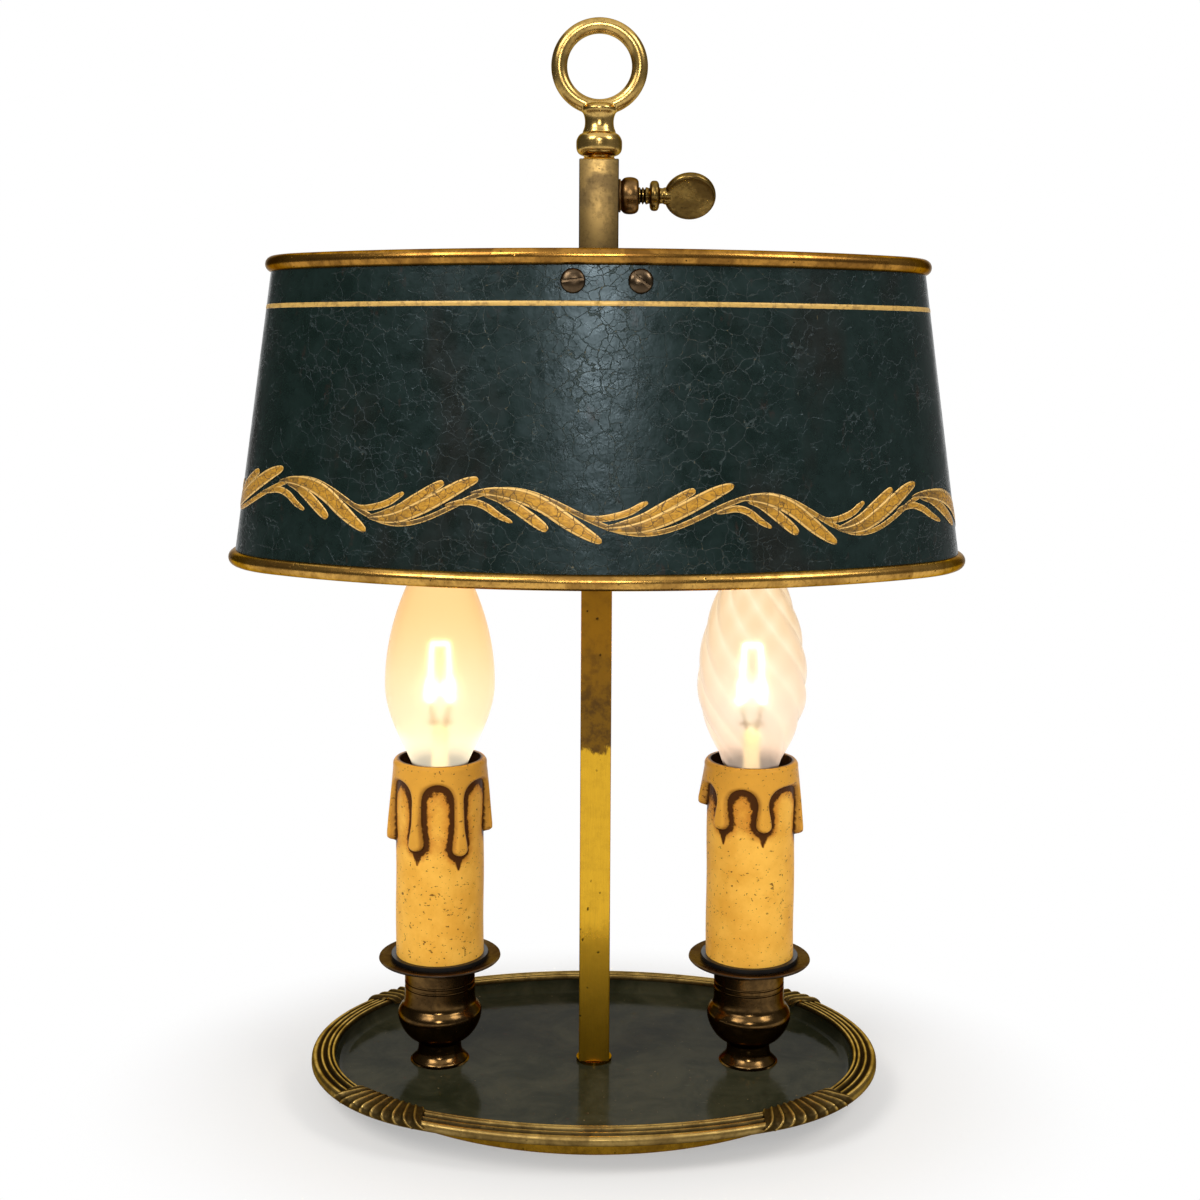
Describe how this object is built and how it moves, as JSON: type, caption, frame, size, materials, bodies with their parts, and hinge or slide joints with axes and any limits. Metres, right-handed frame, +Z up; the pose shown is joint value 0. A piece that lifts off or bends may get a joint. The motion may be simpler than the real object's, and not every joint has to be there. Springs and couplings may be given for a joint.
{
  "type": "bouillotte lamp",
  "caption": "Bouillotte table lamp with candle lights on an oval tray and an oval metal shade that slides on a square stem and is held by a thumbscrew.",
  "frame": {"origin": "middle of the foot ring, on the table", "axes": "+X to the right, towards the thumbscrew; -Y to the front; +Z up"},
  "size_m": [0.2334, 0.1374, 0.3422],
  "materials": {
    "foot_brass": "aged, brushed by hand",
    "plate_steel": "plain rolled sheet",
    "green_baize": "felted baize",
    "bush_rubber": "matt black",
    "tray_paint": "dark olive-grey paint, glossy, fine red-brown specks",
    "border_brass": "aged, brown in the hollows",
    "clasp_brass": "cast, chased leaf, brown in the hollows",
    "stem_brass": "drawn bar, brown tarnish on the upper half",
    "finial_brass": "cast and turned, lightly tarnished",
    "cup_bronze": "turned, dark bronze patina, bright on the edges",
    "black_enamel": "semi-gloss black",
    "tube_brass": "threaded tube, dull",
    "steel_hardware": "zinc plated",
    "nut_brass": "dull",
    "bracket_steel": "zinc plated strip",
    "holder_phenolic": "moulded phenolic",
    "shell_brass": "thin pressed brass",
    "candle_wax": "ivory, satin, brown glaze under the drips",
    "wire_jacket": "gold-coloured flexible jacket",
    "block_nylon": "natural nylon",
    "bulb_glass": "clear, warm",
    "cap_nickel": "nickel-plated, threaded",
    "black_glass": "black vitrite",
    "filament_support": "glass mount with a tungsten coil",
    "slider_brass": "square tube, aged",
    "boss_brass": "turned, brown patina",
    "screw_bronze": "cast, dark bronze patina",
    "pad_brass": "plain",
    "bracket_brass": "folded strip",
    "shade_tole": "very dark green crackled gloss paint, gilt leaf border and thin gilt line",
    "rim_brass": "rolled bead, brown pits",
    "screw_brass": "slotted, round head"
  },
  "bodies": {
    "lamp_base": {"foot_ring": "foot_brass", "base_plate": "plate_steel", "baize_pad": "green_baize", "cord_bush": "bush_rubber", "tray": "tray_paint", "tray_border": "border_brass", "border_clasps": "clasp_brass", "stem_collar": "stem_brass", "stem": "stem_brass", "stem_stud": "steel_hardware", "stem_washer": "steel_hardware", "stem_nut": "steel_hardware", "finial": "finial_brass", "candle_cup_left": "cup_bronze", "candle_cup_right": "cup_bronze", "drip_pan_left": "cup_bronze", "drip_pan_right": "cup_bronze", "candle_base_left": "black_enamel", "candle_base_right": "black_enamel", "threaded_tube_left": "tube_brass", "threaded_tube_right": "tube_brass", "tube_locknuts": "nut_brass", "holder_nuts": "nut_brass", "holder_bracket_left": "bracket_steel", "holder_bracket_right": "bracket_steel", "lampholder_left": "holder_phenolic", "lampholder_right": "holder_phenolic", "screw_shell_left": "shell_brass", "screw_shell_right": "shell_brass", "candle_sleeve_left": "candle_wax", "candle_sleeve_right": "candle_wax", "lead_wires_left": "wire_jacket", "lead_wires_right": "wire_jacket", "terminal_block": "block_nylon"},
    "shade_slider": {"slider_sleeve": "slider_brass", "screw_boss": "boss_brass", "shade_bracket": "bracket_brass", "shade": "shade_tole", "shade_top_rim": "rim_brass", "shade_bottom_rim": "rim_brass", "shade_screws": "screw_brass", "shade_nuts": "nut_brass"},
    "clamp_pad": {"pressure_pad": "pad_brass"},
    "thumbscrew": {"thumbscrew": "screw_bronze"},
    "contact_left": {"contact_spring_left": "shell_brass"},
    "bulb_left": {"bulb_glass_left": "bulb_glass", "bulb_cap_left": "cap_nickel", "bulb_insulator_left": "black_glass", "filament_left": "filament_support"},
    "contact_right": {"contact_spring_right": "shell_brass"},
    "bulb_right": {"bulb_glass_right": "bulb_glass", "bulb_cap_right": "cap_nickel", "bulb_insulator_right": "black_glass", "filament_right": "filament_support"}
  },
  "joints": [
    {"name": "shade_slide", "type": "slide", "parent": "lamp_base", "child": "shade_slider", "axis": [0, 0, 1], "range_m": [-0.121, 0.001]},
    {"name": "pad_slide", "type": "slide", "parent": "shade_slider", "child": "clamp_pad", "axis": [1, 0, 0], "range_m": [0, 0.0024]},
    {"name": "thumbscrew_turn", "type": "hinge", "parent": "clamp_pad", "child": "thumbscrew", "pos_m": [0.02, 0, 0.2867], "axis": [1, 0, 0], "range_deg": [0, 1080]},
    {"name": "left_contact_slide", "type": "slide", "parent": "lamp_base", "child": "contact_left", "axis": [0, 0, 1], "range_m": [0, 0.0012]},
    {"name": "left_bulb_turn", "type": "hinge", "parent": "contact_left", "child": "bulb_left", "pos_m": [-0.0501, 0, 0.09], "axis": [0, 0, 1], "range_deg": [0, 150]},
    {"name": "right_contact_slide", "type": "slide", "parent": "lamp_base", "child": "contact_right", "axis": [0, 0, 1], "range_m": [0, 0.0012]},
    {"name": "right_bulb_turn", "type": "hinge", "parent": "contact_right", "child": "bulb_right", "pos_m": [0.0501, 0, 0.09], "axis": [0, 0, 1], "range_deg": [0, 150]}
  ],
  "couplings": [
    {"joint": "pad_slide", "follows": "thumbscrew_turn", "m_per_rad": 0.00012732},
    {"joint": "left_contact_slide", "follows": "left_bulb_turn", "m_per_rad": 0.0004488},
    {"joint": "right_contact_slide", "follows": "right_bulb_turn", "m_per_rad": 0.0004488}
  ]
}
